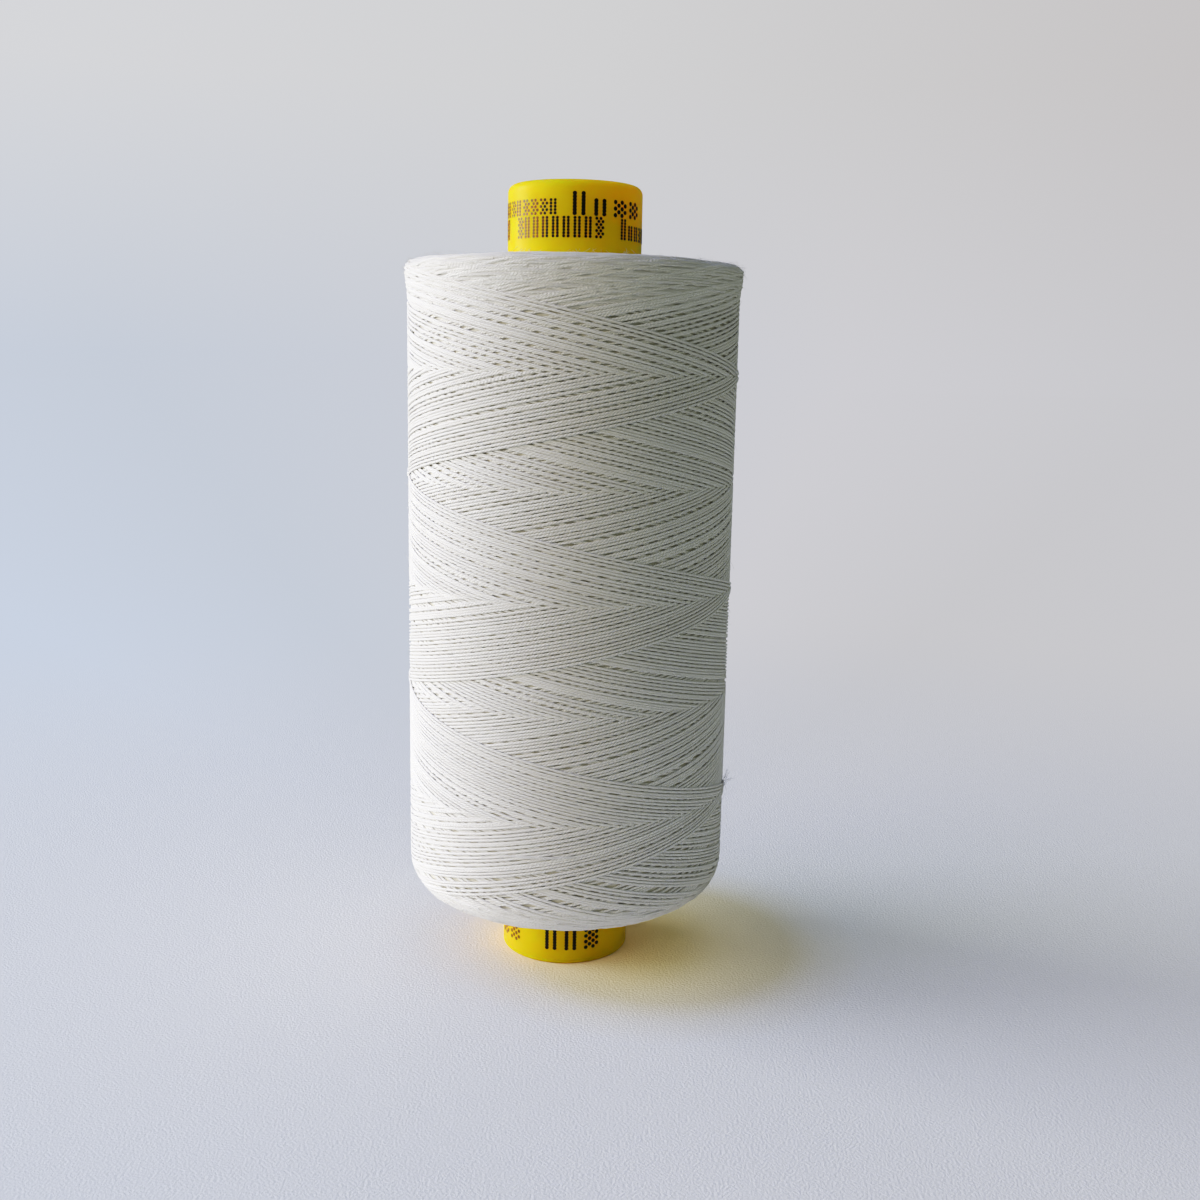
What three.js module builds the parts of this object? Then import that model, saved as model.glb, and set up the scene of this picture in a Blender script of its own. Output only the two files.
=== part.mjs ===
// Spool of sewing thread: a straight yellow plastic tube that carries one cross-wound
// package of off-white thread. Millimetres, +Z up, origin at the centre of the tube's foot.
import * as THREE from "three";
import { mergeVertices } from "three/addons/utils/BufferGeometryUtils.js";

// Tube
const TUBE_RADIUS = 6.6;
const TUBE_HEIGHT = 78.3;
const TUBE_WALL = 1.3;
const TUBE_TOP_ROUND = 0.8;
const TUBE_FOOT_CHAMFER = 0.25;
const TUBE_BORE_CHAMFER = 0.15;
const TUBE_SIDES = 48;
const TUBE_ROUND_STEPS = 4;

// Wound package
const PACKAGE_RADIUS = 16.45;
const PACKAGE_FOOT = 6.9;
const PACKAGE_TOP = 70.85;
const TUBE_CLEARANCE = 0.3;
const TOP_CORNER = 0.8;
const TOP_LIP = 0.25;
const TOP_LIP_WIDTH = 1.6;
const SHOULDER_RADIUS = 3.6;

// Lay of the thread: a rising and a falling helix family, with the last thread of each
// standing proud as a step that fades over one turn
const LAY_PITCH = 21.4;
const RISING_START = 55.0 - 2 * LAY_PITCH;
const FALLING_START = 65.6 - 2 * LAY_PITCH;
const LAYER_STEP = 0.3;
const RELIEF_FADE = 3.0;

const PACKAGE_SIDES = 36;
const CORNER_STEPS = 3;
const SHOULDER_STEPS = 6;

const TURN = 2 * Math.PI;

const tubePlastic = new THREE.MeshStandardMaterial({ color: 0xf2c80f, roughness: 0.35, metalness: 0 });
const threadYarn = new THREE.MeshStandardMaterial({ color: 0xe6e4da, roughness: 0.9, metalness: 0 });

// Points on a quarter round, from one angle to the other
function arcPoints(centreR, centreZ, radius, fromAngle, toAngle, steps) {
  const points = [];
  for (let i = 0; i <= steps; i += 1) {
    const angle = fromAngle + ((toAngle - fromAngle) * i) / steps;
    points.push(new THREE.Vector2(centreR + radius * Math.cos(angle), centreZ + radius * Math.sin(angle)));
  }
  return points;
}

// The tube is one turned wall: bore, foot ring, outer wall and rounded top edge
function makeTube() {
  const bore = TUBE_RADIUS - TUBE_WALL;
  const outline = [
    new THREE.Vector2(bore, TUBE_BORE_CHAMFER),
    new THREE.Vector2(bore + TUBE_BORE_CHAMFER, 0),
    new THREE.Vector2(TUBE_RADIUS - TUBE_FOOT_CHAMFER, 0),
    new THREE.Vector2(TUBE_RADIUS, TUBE_FOOT_CHAMFER),
    ...arcPoints(
      TUBE_RADIUS - TUBE_TOP_ROUND,
      TUBE_HEIGHT - TUBE_TOP_ROUND,
      TUBE_TOP_ROUND,
      0,
      TURN / 4,
      TUBE_ROUND_STEPS,
    ),
    new THREE.Vector2(bore + TUBE_BORE_CHAMFER, TUBE_HEIGHT),
    new THREE.Vector2(bore, TUBE_HEIGHT - TUBE_BORE_CHAMFER),
  ];
  outline.push(outline[0].clone());
  const tube = new THREE.Mesh(new THREE.LatheGeometry(outline, TUBE_SIDES), tubePlastic);
  tube.name = "tube";
  // A lathe turns about Y, and the spool stands along Z
  tube.rotation.x = TURN / 4;
  return tube;
}

// Fraction of a turn by which a height lies past the last thread of a family, 0 to 1
function threadAge(distance) {
  const turns = distance / LAY_PITCH;
  return turns - Math.floor(turns);
}

function lastRisingAge(angle, height) {
  return threadAge(height - RISING_START - (LAY_PITCH * angle) / TURN);
}

function lastFallingAge(angle, height) {
  return threadAge(FALLING_START - (LAY_PITCH * angle) / TURN - height);
}

// How far the surface stands out or in at a point: one layer step for each family,
// full at its last thread and gone one turn away, faded out towards both ends
function bandRelief(angle, height) {
  const fromEnds = Math.min(height - PACKAGE_FOOT, PACKAGE_TOP - height);
  const fade = THREE.MathUtils.smoothstep(fromEnds, 0, RELIEF_FADE);
  const layers = 1 - lastRisingAge(angle, height) - lastFallingAge(angle, height);
  return LAYER_STEP * layers * fade;
}

// Outline of the package from the tube at its foot, round the shoulder, up the side
// and over the top corner back to the tube; side rows are one helix step apart
function packageOutline() {
  const inner = TUBE_RADIUS + TUBE_CLEARANCE;
  const sideFoot = PACKAGE_FOOT + SHOULDER_RADIUS;
  const sideTop = PACKAGE_TOP - TOP_CORNER;
  const rowStep = LAY_PITCH / PACKAGE_SIDES;
  const rows = Math.round((sideTop - sideFoot) / rowStep);
  const outline = [
    new THREE.Vector2(inner, PACKAGE_FOOT),
    ...arcPoints(
      PACKAGE_RADIUS - SHOULDER_RADIUS,
      sideFoot,
      SHOULDER_RADIUS,
      -TURN / 4,
      0,
      SHOULDER_STEPS,
    ),
  ];
  for (let row = 1; row < rows; row += 1) {
    outline.push(new THREE.Vector2(PACKAGE_RADIUS, sideFoot + ((sideTop - sideFoot) * row) / rows));
  }
  outline.push(
    ...arcPoints(PACKAGE_RADIUS - TOP_CORNER, sideTop, TOP_CORNER, 0, TURN / 4, CORNER_STEPS),
    new THREE.Vector2(inner, PACKAGE_TOP),
  );
  for (const point of outline) {
    const belowTop = (PACKAGE_TOP - TOP_CORNER - point.y) / TOP_LIP_WIDTH;
    if (point.x > inner) point.x += TOP_LIP * Math.exp(-belowTop * belowTop);
  }
  return outline;
}

// The wound package is one ring of thread: the outline turned about the axis, with the
// step of each last thread raised in its face and every quad split along that thread
function makeWinding() {
  const outline = packageOutline();
  const inner = TUBE_RADIUS + TUBE_CLEARANCE;
  const positions = [];
  for (const { x: radius, y: height } of outline) {
    for (let side = 0; side < PACKAGE_SIDES; side += 1) {
      const angle = (TURN * side) / PACKAGE_SIDES;
      const outward = (radius - inner) / (PACKAGE_RADIUS - inner);
      const reach = radius + bandRelief(angle, height) * outward;
      // Angle 0 faces -Y and grows towards +X
      positions.push(reach * Math.sin(angle), -reach * Math.cos(angle), height);
    }
  }
  const triangles = [];
  const last = outline.length;
  for (let row = 0; row < last; row += 1) {
    const next = (row + 1) % last;
    for (let side = 0; side < PACKAGE_SIDES; side += 1) {
      const beside = (side + 1) % PACKAGE_SIDES;
      const a = row * PACKAGE_SIDES + side;
      const b = row * PACKAGE_SIDES + beside;
      const c = next * PACKAGE_SIDES + beside;
      const d = next * PACKAGE_SIDES + side;
      const angle = (TURN * (side + 0.5)) / PACKAGE_SIDES;
      const height = (outline[row].y + outline[next].y) / 2;
      const risingOnTop = lastRisingAge(angle, height) < lastFallingAge(angle, height);
      if (risingOnTop) triangles.push(a, b, c, a, c, d);
      else triangles.push(a, b, d, b, c, d);
    }
  }
  const geometry = new THREE.BufferGeometry();
  geometry.setAttribute("position", new THREE.Float32BufferAttribute(positions, 3));
  geometry.setIndex(triangles);
  const winding = new THREE.Mesh(mergeVertices(geometry), threadYarn);
  winding.name = "winding";
  return winding;
}

const spool = new THREE.Group();
spool.add(makeTube(), makeWinding());

export default spool;
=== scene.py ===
import bpy
import math
from mathutils import Matrix, Vector


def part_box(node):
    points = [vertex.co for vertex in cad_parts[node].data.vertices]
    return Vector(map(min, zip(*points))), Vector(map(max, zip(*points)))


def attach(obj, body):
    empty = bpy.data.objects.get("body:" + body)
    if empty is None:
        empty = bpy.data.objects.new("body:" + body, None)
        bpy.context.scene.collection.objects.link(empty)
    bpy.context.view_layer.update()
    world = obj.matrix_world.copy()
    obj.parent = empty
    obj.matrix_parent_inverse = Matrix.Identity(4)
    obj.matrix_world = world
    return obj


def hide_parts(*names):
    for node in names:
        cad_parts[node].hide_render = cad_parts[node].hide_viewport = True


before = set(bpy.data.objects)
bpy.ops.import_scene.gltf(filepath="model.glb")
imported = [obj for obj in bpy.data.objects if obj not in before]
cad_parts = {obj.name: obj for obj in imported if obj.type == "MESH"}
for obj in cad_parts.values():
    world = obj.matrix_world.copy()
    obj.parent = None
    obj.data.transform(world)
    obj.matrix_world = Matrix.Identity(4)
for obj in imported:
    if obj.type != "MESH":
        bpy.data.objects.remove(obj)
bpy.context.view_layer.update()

# The tube
# A straight length of yellow moulded plastic, open at both ends, that slides over a
# spool pin. Its upper outer edge is rounded, and it stands on a plain cut ring.

MM = 0.001
TURN = 2 * math.pi
tube_low, tube_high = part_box("tube")
TUBE_RADIUS = tube_high.x
TUBE_HEIGHT = tube_high.z
TUBE_BORE = TUBE_RADIUS - 1.3 * MM
TUBE_TOP_ROUND = 0.8 * MM
TUBE_FOOT_CHAMFER = 0.22 * MM
TUBE_BORE_ROUND = 0.15 * MM
FOOT_LINE = 0.42 * MM
FOOT_LINE_DEPTH = 0.06 * MM
TUBE_SIDES = 160
WALL_ROWS = 24
EDGE_STEPS = 4
CROWN_STEPS = 10


def quarter_round(centre_r, centre_z, radius, start, steps):
    """Points on a quarter circle that starts at an angle and turns to the left."""
    angles = [start + TURN / 4 * i / steps for i in range(steps + 1)]
    return [(centre_r + radius * math.cos(a), centre_z + radius * math.sin(a)) for a in angles]


def turned_ring(name, outline, sides):
    """A closed outline of (radius, height) turned about the axis, as one smooth ring."""
    rows = len(outline)
    places = []
    for radius, height in outline:
        for side in range(sides):
            angle = TURN * side / sides
            places.append((radius * math.sin(angle), -radius * math.cos(angle), height))
    faces = []
    for row in range(rows):
        above = (row + 1) % rows
        for side in range(sides):
            beside = (side + 1) % sides
            faces.append((
                row * sides + side, row * sides + beside,
                above * sides + beside, above * sides + side,
            ))
    mesh = bpy.data.meshes.new(name)
    mesh.from_pydata(places, [], faces)
    mesh.shade_smooth()
    ring = bpy.data.objects.new(name, mesh)
    bpy.context.collection.objects.link(ring)
    return ring


def tube_outline():
    """The wall as (radius, height): foot, outer face with its groove, crown and bore."""
    rows = [row / WALL_ROWS for row in range(1, WALL_ROWS)]
    line_low, line_high = FOOT_LINE - FOOT_LINE_DEPTH, FOOT_LINE + FOOT_LINE_DEPTH
    crown_low, bore_high = TUBE_HEIGHT - TUBE_TOP_ROUND, TUBE_HEIGHT - TUBE_BORE_ROUND
    inner, outer = TUBE_BORE + TUBE_BORE_ROUND, TUBE_RADIUS - TUBE_FOOT_CHAMFER
    foot = quarter_round(inner, TUBE_BORE_ROUND, TUBE_BORE_ROUND, TURN / 2, EDGE_STEPS)
    heel = quarter_round(outer, TUBE_FOOT_CHAMFER, TUBE_FOOT_CHAMFER, -TURN / 4, EDGE_STEPS)
    groove = [
        (TUBE_RADIUS, line_low),
        (TUBE_RADIUS - FOOT_LINE_DEPTH, FOOT_LINE),
        (TUBE_RADIUS, line_high),
    ]
    wall = [(TUBE_RADIUS, line_high + t * (crown_low - line_high)) for t in rows]
    crown = quarter_round(TUBE_RADIUS - TUBE_TOP_ROUND, crown_low, TUBE_TOP_ROUND, 0, CROWN_STEPS)
    lip = quarter_round(inner, bore_high, TUBE_BORE_ROUND, TURN / 4, EDGE_STEPS)
    bore = [(TUBE_BORE, bore_high - t * (TUBE_HEIGHT - 2 * TUBE_BORE_ROUND)) for t in rows]
    return foot + heel + groove + wall + crown + lip + bore


def feed(tree, socket, value):
    """Feeds a socket from another socket, or gives it a plain value."""
    if isinstance(value, bpy.types.NodeSocket):
        tree.links.new(value, socket)
    else:
        socket.default_value = value


def finish(name, **looks):
    """A new material: itself, its tree and its Principled shader, which gets these looks."""
    material = bpy.data.materials.new(name)
    material.use_nodes = True
    tree = material.node_tree
    surface = tree.nodes["Principled BSDF"]
    for label, value in looks.items():
        surface.inputs[label.replace("_", " ")].default_value = value
    return material, tree, surface


def shade_node(tree, kind, **values):
    """Adds a shader node; values are its settings, or its inputs by name or, as in_0, number."""
    node = tree.nodes.new(kind)
    for label, value in values.items():
        if hasattr(node, label):
            setattr(node, label, value)
        else:
            key = int(label[3:]) if label.startswith("in_") else label.replace("_", " ")
            feed(tree, node.inputs[key], value)
    return node


def reckon(tree, operation, *values, kind="ShaderNodeMath"):
    """One sum in a shader, of numbers or, with the vector kind, of vectors."""
    node = shade_node(tree, kind, operation=operation)
    for socket, value in zip(node.inputs, values):
        feed(tree, socket, value)
    return node.outputs[0]


def object_place(tree):
    return shade_node(tree, "ShaderNodeTexCoord").outputs["Object"]


def one_axis(tree, place, axis):
    return shade_node(tree, "ShaderNodeSeparateXYZ", Vector=place).outputs[axis]


def noise(tree, place, scale, detail):
    """Cloudy noise from 0 to 1 over a place."""
    return shade_node(tree, "ShaderNodeTexNoise", Vector=place, Scale=scale, Detail=detail).outputs["Fac"]


def share_between(tree, value, **ends):
    """How far a value lies between its From ends, as 0 to 1 unless there are To ends."""
    return shade_node(tree, "ShaderNodeMapRange", Value=value, **ends).outputs["Result"]


def colour_ramp(tree, source, *stops):
    """A colour ramp with (position, colour) stops, fed from a source."""
    ramp = shade_node(tree, "ShaderNodeValToRGB", Fac=source)
    elements = ramp.color_ramp.elements
    while len(elements) < len(stops):
        elements.new(0.5)
    for element, (position, colour) in zip(elements, stops):
        element.position = position
        element.color = (*colour, 1)
    return ramp.outputs["Color"]


def relief(tree, surface, height, strength, distance, over=None):
    """Fine relief on a surface, its distance in metres, over a normal where one is given."""
    dent = shade_node(tree, "ShaderNodeBump", Height=height, Strength=strength, Distance=distance)
    if over:
        tree.links.new(over, dent.inputs["Normal"])
    tree.links.new(dent.outputs["Normal"], surface.inputs["Normal"])


# Thin plastic lets yellow light through it. Its colour is also painted a deeper orange towards the foot, a
# painted glow where the foot stands in the package's shade
tube_plastic, tree, surface = finish(
    "tube_plastic", Roughness=0.25, Specular_IOR_Level=0.03, Specular_Tint=(1.0, 0.78, 0.10, 1),
    Subsurface_Weight=0.6, Subsurface_Radius=(0.0085, 0.0032, 0.0002), Subsurface_Scale=1.0,
    Subsurface_Anisotropy=0.7,
)
place = object_place(tree)
# Painted glow: the base colour runs from deep orange at the foot to yellow higher up
clouded = reckon(tree, "MULTIPLY_ADD", one_axis(tree, place, "Z"), 40.0, noise(tree, place, 260.0, 3.0))
up_tube = share_between(tree, clouded, From_Min=0.4, From_Max=1.4)
tint = colour_ramp(
    tree, up_tube, (0.0, (1.0, 0.52, 0.014)), (0.3, (1.0, 0.55, 0.018)), (1.0, (1.0, 0.60, 0.020)),
)
tree.links.new(tint, surface.inputs["Base Color"])
relief(tree, surface, noise(tree, place, 2600.0, 2.0), 0.12, 0.00005)
through = shade_node(tree, "ShaderNodeBsdfTranslucent", Color=(1.0, 0.62, 0.01, 1))
shell = shade_node(tree, "ShaderNodeMixShader", Fac=0.08, in_1=surface.outputs[0], in_2=through.outputs[0])
tree.links.new(shell.outputs[0], tree.nodes["Material Output"].inputs["Surface"])

tube = turned_ring("tube_core", tube_outline(), TUBE_SIDES)
tube.data.materials.append(tube_plastic)
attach(tube, "root")
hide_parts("tube")

# The print on the tube
# Rows of small dark marks that a dot printer sprays round both ends of the tube. They
# are plain patches of dots here: checks and upright bars.

DOT_DEPTH = 0.03
DOT_SIDES = 8
ROWS_TALL = 7
ROWS_SHORT = 5
COLUMNS = 4
CHECKS, BARS = 0, 1
FIRST_PRINT_SEED = 20
FINE_PRINT = {"Column": 0.208, "Dot": 0.30}
BOLD_PRINT = {"Column": 0.41, "Dot": 0.42}
UPPER_PRINT = {"Foot": 75.13, "Row": 0.30}
LOWER_PRINT = {"Foot": 73.05, "Row": 0.28}
FOOT_PRINT = {"Foot": 1.70, "Row": 0.31}
PRINT_GROUPS = [
    {**FINE_PRINT, **UPPER_PRINT, "First Turn": -101.5 / 360, "Marks": 10, "Tall Marks": 0},
    {**BOLD_PRINT, **UPPER_PRINT, "First Turn": -0.5 / 360, "Marks": 4, "Tall Marks": 1},
    {**FINE_PRINT, **UPPER_PRINT, "First Turn": 112.0 / 360, "Marks": 8, "Tall Marks": 8},
    {**FINE_PRINT, **LOWER_PRINT, "First Turn": -104.0 / 360, "Marks": 4, "Tall Marks": 4},
    {**FINE_PRINT, **LOWER_PRINT, "First Turn": -54.3 / 360, "Marks": 9, "Tall Marks": 9},
    {**FINE_PRINT, **LOWER_PRINT, "First Turn": 42.4 / 360, "Marks": 8, "Tall Marks": 1},
    {**FINE_PRINT, **LOWER_PRINT, "First Turn": 150.0 / 360, "Marks": 7, "Tall Marks": 7},
    {**BOLD_PRINT, **FOOT_PRINT, "First Turn": -75.0 / 360, "Marks": 2, "Tall Marks": 2},
    {**BOLD_PRINT, **FOOT_PRINT, "First Turn": -16.0 / 360, "Marks": 3, "Tall Marks": 3},
    {**BOLD_PRINT, **FOOT_PRINT, "First Turn": 120.0 / 360, "Marks": 5, "Tall Marks": 5},
]


class NodeTree:
    """A Geometry Nodes tree that is written as plain sums: each call adds one node."""

    def __init__(self, name, inputs):
        self.tree = bpy.data.node_groups.new(name, "GeometryNodeTree")
        self.tree.is_modifier = True
        sockets = self.tree.interface
        sockets.new_socket("Geometry", in_out="INPUT", socket_type="NodeSocketGeometry")
        for label, (kind, value) in inputs.items():
            socket = sockets.new_socket(label, in_out="INPUT", socket_type="NodeSocket" + kind)
            if kind != "Material":
                socket.default_value = value
        sockets.new_socket("Geometry", in_out="OUTPUT", socket_type="NodeSocketGeometry")
        self.inputs = self.tree.nodes.new("NodeGroupInput").outputs
        self.end = self.tree.nodes.new("NodeGroupOutput")

    def put(self, socket, value):
        feed(self.tree, socket, value)

    def add(self, kind, settings=None, **feeds):
        """Adds a node of a kind; feeds are its inputs by name or, as in_0, by number."""
        node = self.tree.nodes.new(kind)
        for label, value in (settings or {}).items():
            setattr(node, label, value)
        for label, value in feeds.items():
            key = int(label[3:]) if label.startswith("in_") else label.replace("_", " ")
            self.put(node.inputs[key], value)
        return node

    def sum(self, operation, first, second=0.0, third=0.0):
        node = self.add("ShaderNodeMath", {"operation": operation}, in_0=first, in_1=second, in_2=third)
        return node.outputs[0]

    def times(self, *values):
        total = values[0]
        for value in values[1:]:
            total = self.sum("MULTIPLY", total, value)
        return total

    def plus(self, *values):
        total = values[0]
        for value in values[1:]:
            total = self.sum("ADD", total, value)
        return total

    def less(self, first, second):
        return self.sum("SUBTRACT", first, second)

    def beyond_zero(self, value):
        return self.sum("MAXIMUM", value, 0.0)

    def vector(self, x=0.0, y=0.0, z=0.0):
        return self.add("ShaderNodeCombineXYZ", X=x, Y=y, Z=z).outputs[0]

    def ramp(self, value, low, high):
        """0 below low, 1 above high, and smooth between them."""
        node = self.add("ShaderNodeMapRange", {"interpolation_type": "SMOOTHSTEP"},
                        Value=value, From_Min=low, From_Max=high, To_Min=0.0, To_Max=1.0)
        return node.outputs[0]

    def chance(self, low, high, number, seed):
        """An even random value for each number, fixed by its seed."""
        node = self.add("FunctionNodeRandomValue", {"data_type": "FLOAT"})
        self.put(node.inputs[2], low)
        self.put(node.inputs[3], high)
        self.put(node.inputs["ID"], number)
        self.put(node.inputs["Seed"], seed)
        return node.outputs[1]

    def cloud(self, across, along):
        """Smooth noise from -0.5 to 0.5 over two numbers."""
        node = self.add("ShaderNodeTexNoise", {"noise_dimensions": "2D"}, Scale=1.0, Detail=1.0,
                        Vector=self.vector(across, along))
        return self.less(node.outputs[0], 0.5)

    def finish(self, geometry, material):
        """Ends the tree in real geometry with its material."""
        real = self.add("GeometryNodeRealizeInstances", Geometry=geometry).outputs[0]
        done = self.add("GeometryNodeSetMaterial", Geometry=real, Material=material).outputs[0]
        self.put(self.end.inputs[0], done)

    def make(self, name, values):
        """Runs the tree with these input values and keeps its result as a plain mesh."""
        holder = bpy.data.objects.new(name + "_holder", bpy.data.meshes.new(name + "_start"))
        bpy.context.collection.objects.link(holder)
        modifier = holder.modifiers.new("shape", "NODES")
        modifier.node_group = self.tree
        for item in self.tree.interface.items_tree:
            if item.in_out == "INPUT" and item.name in values:
                modifier[item.identifier] = values[item.name]
        shown = holder.evaluated_get(bpy.context.evaluated_depsgraph_get())
        result = bpy.data.meshes.new_from_object(shown)
        result.name = name
        holder.modifiers.clear()
        bpy.data.objects.remove(holder)
        piece = bpy.data.objects.new(name, result)
        bpy.context.collection.objects.link(piece)
        return piece


def joined(pieces, name):
    """Several pieces of one kind as one mesh."""
    with bpy.context.temp_override(
        active_object=pieces[0], selected_editable_objects=pieces, selected_objects=pieces,
    ):
        bpy.ops.object.join()
    pieces[0].name = name
    pieces[0].data.name = name
    return pieces[0]


marks = NodeTree("printed_marks", {
    "Marks": ("Int", 4),
    "Tall Marks": ("Int", 4),
    "First Turn": ("Float", 0.0),
    "Foot": ("Float", 75.0),
    "Column": ("Float", 0.185),
    "Row": ("Float", 0.3),
    "Dot": ("Float", 0.3),
    "Seed": ("Int", 1),
    "Material": ("Material", None),
})
value = marks.inputs
dots_in_mark = ROWS_TALL * COLUMNS
dot_count = marks.times(value["Marks"], dots_in_mark)
dot_line = marks.add(
    "GeometryNodeMeshLine", {"mode": "OFFSET"}, Count=dot_count, Offset=(0, 0, 0),
).outputs[0]
number = marks.add("GeometryNodeInputIndex").outputs[0]
mark = marks.sum("FLOOR", marks.times(number, 1 / dots_in_mark))
row = marks.sum("FLOORED_MODULO", number, ROWS_TALL)
column = marks.sum("FLOORED_MODULO", marks.sum("FLOOR", marks.times(number, 1 / ROWS_TALL)), COLUMNS)
kind = marks.sum("FLOOR", marks.chance(0.0, 1.999, mark, value["Seed"]))


def printed_where(wanted_kind, number, repeat, below):
    """1 where the mark is of this kind and its number, over and over, is below a limit."""
    of_kind = marks.sum("COMPARE", kind, float(wanted_kind), 0.1)
    kept = marks.sum("LESS_THAN", marks.sum("FLOORED_MODULO", number, repeat), below)
    return marks.times(of_kind, kept)


both = marks.plus(column, row)
printed = marks.plus(printed_where(CHECKS, both, 2.0, 0.5), printed_where(BARS, column, 2.0, 0.5))
rows_here = marks.plus(ROWS_SHORT, marks.times(
    marks.sum("LESS_THAN", mark, value["Tall Marks"]), ROWS_TALL - ROWS_SHORT,
))
printed = marks.times(printed, marks.sum("LESS_THAN", row, rows_here))
across = marks.times(marks.plus(marks.times(mark, COLUMNS + 1.0), column), value["Column"])
flat_place = marks.vector(across, 0.0, marks.times(row, value["Row"]))
laid_out = marks.add("GeometryNodeSetPosition", Geometry=dot_line, Position=flat_place).outputs[0]
dot = marks.add("GeometryNodeMeshCylinder", {"fill_type": "NGON"}, Vertices=DOT_SIDES, Depth=DOT_DEPTH,
                Radius=marks.times(value["Dot"], 0.5)).outputs[0]
facing = marks.add("GeometryNodeTransform", Geometry=dot, Rotation=(TURN / 4, 0, 0)).outputs[0]
dots = marks.add("GeometryNodeInstanceOnPoints", Points=laid_out, Selection=printed, Instance=facing)
flat_dots = marks.add("GeometryNodeRealizeInstances", Geometry=dots.outputs[0]).outputs[0]
here = marks.add("ShaderNodeSeparateXYZ", Vector=marks.add("GeometryNodeInputPosition").outputs[0])
reach = marks.less(TUBE_RADIUS / MM, here.outputs["Y"])
angle = marks.plus(
    marks.times(value["First Turn"], TURN), marks.times(here.outputs["X"], MM / TUBE_RADIUS),
)
bent = marks.vector(
    marks.times(reach, marks.sum("SINE", angle), MM),
    marks.times(reach, marks.sum("COSINE", angle), -MM),
    marks.times(marks.plus(here.outputs["Z"], value["Foot"]), MM),
)
rolled_on = marks.add("GeometryNodeSetPosition", Geometry=flat_dots, Position=bent).outputs[0]
marks.finish(rolled_on, value["Material"])

# The ink is black, and turns brown round the left side, with an uneven edge
print_ink, tree, surface = finish("print_ink", Specular_IOR_Level=0.15)
place = object_place(tree)
ink_mottle = noise(tree, place, 900.0, 2.0)
left_reach = reckon(tree, "MULTIPLY_ADD", ink_mottle, 0.0012, one_axis(tree, place, "X"))
brown_share = share_between(tree, left_reach, From_Min=-0.0021, From_Max=-0.0027)
ink = colour_ramp(tree, brown_share, (0.0, (0.010, 0.008, 0.005)), (1.0, (0.17, 0.055, 0.003)))
tree.links.new(ink, surface.inputs["Base Color"])
gloss = share_between(tree, ink_mottle, To_Min=0.30, To_Max=0.55)
tree.links.new(gloss, surface.inputs["Roughness"])

groups = []
for order, group in enumerate(PRINT_GROUPS):
    seed = FIRST_PRINT_SEED + order
    groups.append(marks.make("print_group", {**group, "Seed": seed, "Material": print_ink}))
tube_print = joined(groups, "tube_print")
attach(tube_print, "root")

# The wound body
# The mass of thread under the outermost turns, wound tight round the tube. Only slits of
# it show between the turns, and it carries the step of the last thread laid each way.

winding_low, winding_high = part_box("winding")
PACKAGE_RADIUS = 16.45
PACKAGE_FOOT = winding_low.z / MM
PACKAGE_TOP = winding_high.z / MM
PACKAGE_BORE = 6.75
TOP_CORNER = 0.8
SHOULDER = 3.6
SIDE_FOOT = PACKAGE_FOOT + SHOULDER
SIDE_TOP = PACKAGE_TOP - TOP_CORNER
LIP = 0.25
LIP_WIDTH = 1.6

LAY_PITCH = 21.07
RISING_AT_FRONT = 55.13
FALLING_AT_FRONT = 65.84
RISING_SWING = 0.17
FALLING_SWING = 0.45
LAYER_STEP = 0.155
BODY_DEPTH = 0.36
BODY_SIDES = 180
BODY_ROWS = 150
BODY_END_RINGS = 8
RELIEF_FADE = 3.0


def age(distance):
    """Share of a turn by which a place lies past the last thread of a family."""
    turns = distance / LAY_PITCH
    return turns - math.floor(turns)


def body_relief(angle, height):
    """How far the last threads lift the surface, in layers, faded towards both ends."""
    rise = LAY_PITCH * angle / TURN + RISING_SWING * math.sin(angle)
    fall = LAY_PITCH * angle / TURN + FALLING_SWING * math.sin(angle)
    rising = age(height - RISING_AT_FRONT - rise)
    falling = age(FALLING_AT_FRONT - fall - height)
    ends = min(height - PACKAGE_FOOT, PACKAGE_TOP - height) / RELIEF_FADE
    return (1 - rising - falling) * min(1.0, max(0.0, ends))


def body_outline():
    """Outline of the body in millimetres, the depth of two layers inside the package."""
    foot, top = PACKAGE_FOOT + BODY_DEPTH, PACKAGE_TOP - BODY_DEPTH
    radius = PACKAGE_RADIUS - BODY_DEPTH
    low, high = SHOULDER - BODY_DEPTH, TOP_CORNER - BODY_DEPTH
    shoulder = quarter_round(radius - low, foot + low, low, -TURN / 4, 10)
    corner = quarter_round(radius - high, top - high, high, 0, 4)
    rows, rings = BODY_ROWS, BODY_END_RINGS
    side = [(radius, foot + low + (top - high - foot - low) * i / rows) for i in range(1, rows)]
    foot_width, top_width = radius - low - PACKAGE_BORE, radius - high - PACKAGE_BORE
    across_foot = [(PACKAGE_BORE + foot_width * i / rings, foot) for i in range(rings)]
    across_top = [(radius - high - top_width * i / rings, top) for i in range(1, rings + 1)]
    return across_foot + shoulder + side + corner + across_top


wound_body = turned_ring("wound_body", body_outline(), BODY_SIDES)
for vertex in wound_body.data.vertices:
    x, y, z = vertex.co
    radius = math.hypot(x, y)
    angle = math.atan2(x, -y)
    outward = (radius - PACKAGE_BORE) / (PACKAGE_RADIUS - PACKAGE_BORE)
    lip = LIP * math.exp(-(((SIDE_TOP - z) / LIP_WIDTH) ** 2)) * outward
    reach = radius + LAYER_STEP * body_relief(angle, z) * outward + lip
    vertex.co = (reach * math.sin(angle) * MM, -reach * math.cos(angle) * MM, z * MM)


def mixed_colour(tree, share, first, second):
    """A colour between two others, by a share of the second."""
    mix = shade_node(tree, "ShaderNodeMix", data_type="RGBA", in_0=share, in_6=first, in_7=second)
    return mix.outputs[2]


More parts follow.
